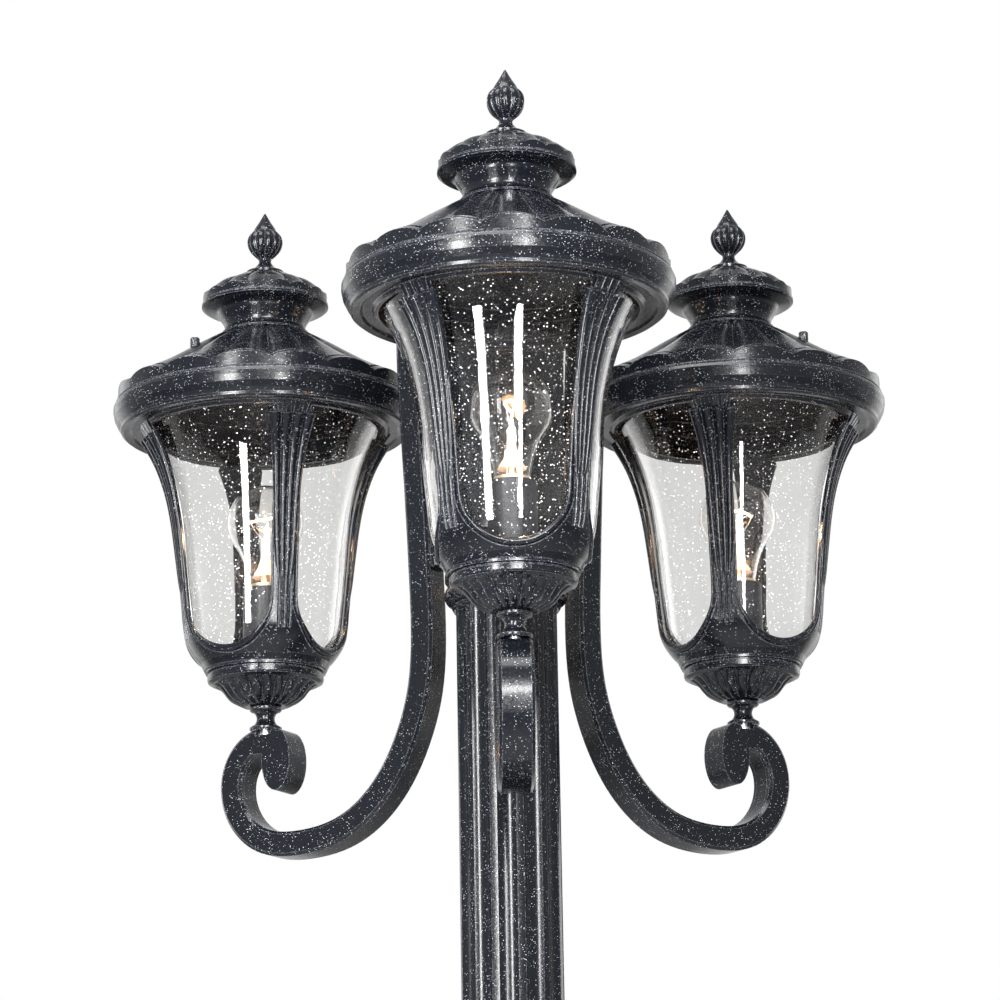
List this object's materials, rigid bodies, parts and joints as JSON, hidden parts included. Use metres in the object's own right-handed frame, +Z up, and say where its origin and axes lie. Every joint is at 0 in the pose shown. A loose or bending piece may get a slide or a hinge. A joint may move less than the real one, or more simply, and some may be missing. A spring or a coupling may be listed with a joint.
{
  "type": "lamp post",
  "caption": "Garden lamp post: scalloped lanterns with seeded glass shades on scrolled arms round a fluted post, on a cast bolt-down base.",
  "frame": {"origin": "on the post axis, on the floor under the base flange", "axes": "+Z up along the post, the front lantern points to -Y, the two others stand 120 degrees to each side, towards +X and -X"},
  "size_m": [0.607, 0.5575, 2.032],
  "materials": {
    "cast_black": "glossy charcoal black casting paint with fine silver-grey speckles and lightly rubbed edges",
    "post_black": "the same speckled charcoal black on the drawn fluted tube",
    "seeded_glass": "clear mouth-blown glass with small air bubbles",
    "bulb_glass": "thin clear glass",
    "screw_base": "thin formed brass shell",
    "socket_black": "black moulded phenolic",
    "steel": "zinc plated steel",
    "wire_sheath": "black cable sheath"
  },
  "bodies": {
    "root": {"base": "cast_black", "base_screws": "steel", "post": "post_black", "post_collar": "cast_black", "hub": "cast_black", "hub_cap": "cast_black", "hub_finial": "cast_black", "arm_screws": "steel", "wiring": "wire_sheath", "nipple_front": "steel", "spool_front": "cast_black", "bowl_front": "cast_black", "cage_front": "cast_black", "glass_front": "seeded_glass", "socket_front": "socket_black", "brim_ring_front": "cast_black", "arm_front": "cast_black", "arm_cover_front": "cast_black", "nipple_left": "steel", "spool_left": "cast_black", "bowl_left": "cast_black", "cage_left": "cast_black", "glass_left": "seeded_glass", "socket_left": "socket_black", "brim_ring_left": "cast_black", "arm_left": "cast_black", "arm_cover_left": "cast_black", "nipple_right": "steel", "spool_right": "cast_black", "bowl_right": "cast_black", "cage_right": "cast_black", "glass_right": "seeded_glass", "socket_right": "socket_black", "brim_ring_right": "cast_black", "arm_right": "cast_black", "arm_cover_right": "cast_black"},
    "roof_front": {"roof_front": "cast_black", "chimney_front": "cast_black", "chimney_cap_front": "cast_black", "finial_front": "cast_black"},
    "knob_a_front": {"knob_a_front": "cast_black"},
    "knob_b_front": {"knob_b_front": "cast_black"},
    "bulb_front": {"bulb_front": "bulb_glass", "bulb_base_front": "screw_base"},
    "roof_left": {"roof_left": "cast_black", "chimney_left": "cast_black", "chimney_cap_left": "cast_black", "finial_left": "cast_black"},
    "knob_a_left": {"knob_a_left": "cast_black"},
    "knob_b_left": {"knob_b_left": "cast_black"},
    "bulb_left": {"bulb_left": "bulb_glass", "bulb_base_left": "screw_base"},
    "roof_right": {"roof_right": "cast_black", "chimney_right": "cast_black", "chimney_cap_right": "cast_black", "finial_right": "cast_black"},
    "knob_a_right": {"knob_a_right": "cast_black"},
    "knob_b_right": {"knob_b_right": "cast_black"},
    "bulb_right": {"bulb_right": "bulb_glass", "bulb_base_right": "screw_base"}
  },
  "joints": [
    {"name": "roof_lift_front", "type": "slide", "parent": "root", "child": "roof_front", "axis": [0, 0, 1], "range_m": [0, 0.08]},
    {"name": "knob_turn_a_front", "type": "hinge", "parent": "roof_front", "child": "knob_a_front", "pos_m": [0, -0.28, 1.908], "axis": [0, 0, 1], "continuous": true},
    {"name": "knob_turn_b_front", "type": "hinge", "parent": "roof_front", "child": "knob_b_front", "pos_m": [0, -0.146, 1.908], "axis": [0, 0, 1], "continuous": true},
    {"name": "bulb_lift_front", "type": "slide", "parent": "root", "child": "bulb_front", "axis": [0, 0, 1], "range_m": [0, 0.03]},
    {"name": "roof_lift_left", "type": "slide", "parent": "root", "child": "roof_left", "axis": [0, 0, 1], "range_m": [0, 0.08]},
    {"name": "knob_turn_a_left", "type": "hinge", "parent": "roof_left", "child": "knob_a_left", "pos_m": [-0.23762, 0.06571, 1.908], "axis": [0, 0, 1], "continuous": true},
    {"name": "knob_turn_b_left", "type": "hinge", "parent": "roof_left", "child": "knob_b_left", "pos_m": [-0.13131, 0.14729, 1.908], "axis": [0, 0, 1], "continuous": true},
    {"name": "bulb_lift_left", "type": "slide", "parent": "root", "child": "bulb_left", "axis": [0, 0, 1], "range_m": [0, 0.03]},
    {"name": "roof_lift_right", "type": "slide", "parent": "root", "child": "roof_right", "axis": [0, 0, 1], "range_m": [0, 0.08]},
    {"name": "knob_turn_a_right", "type": "hinge", "parent": "roof_right", "child": "knob_a_right", "pos_m": [0.23762, 0.06571, 1.908], "axis": [0, 0, 1], "continuous": true},
    {"name": "knob_turn_b_right", "type": "hinge", "parent": "roof_right", "child": "knob_b_right", "pos_m": [0.13131, 0.14729, 1.908], "axis": [0, 0, 1], "continuous": true},
    {"name": "bulb_lift_right", "type": "slide", "parent": "root", "child": "bulb_right", "axis": [0, 0, 1], "range_m": [0, 0.03]}
  ]
}
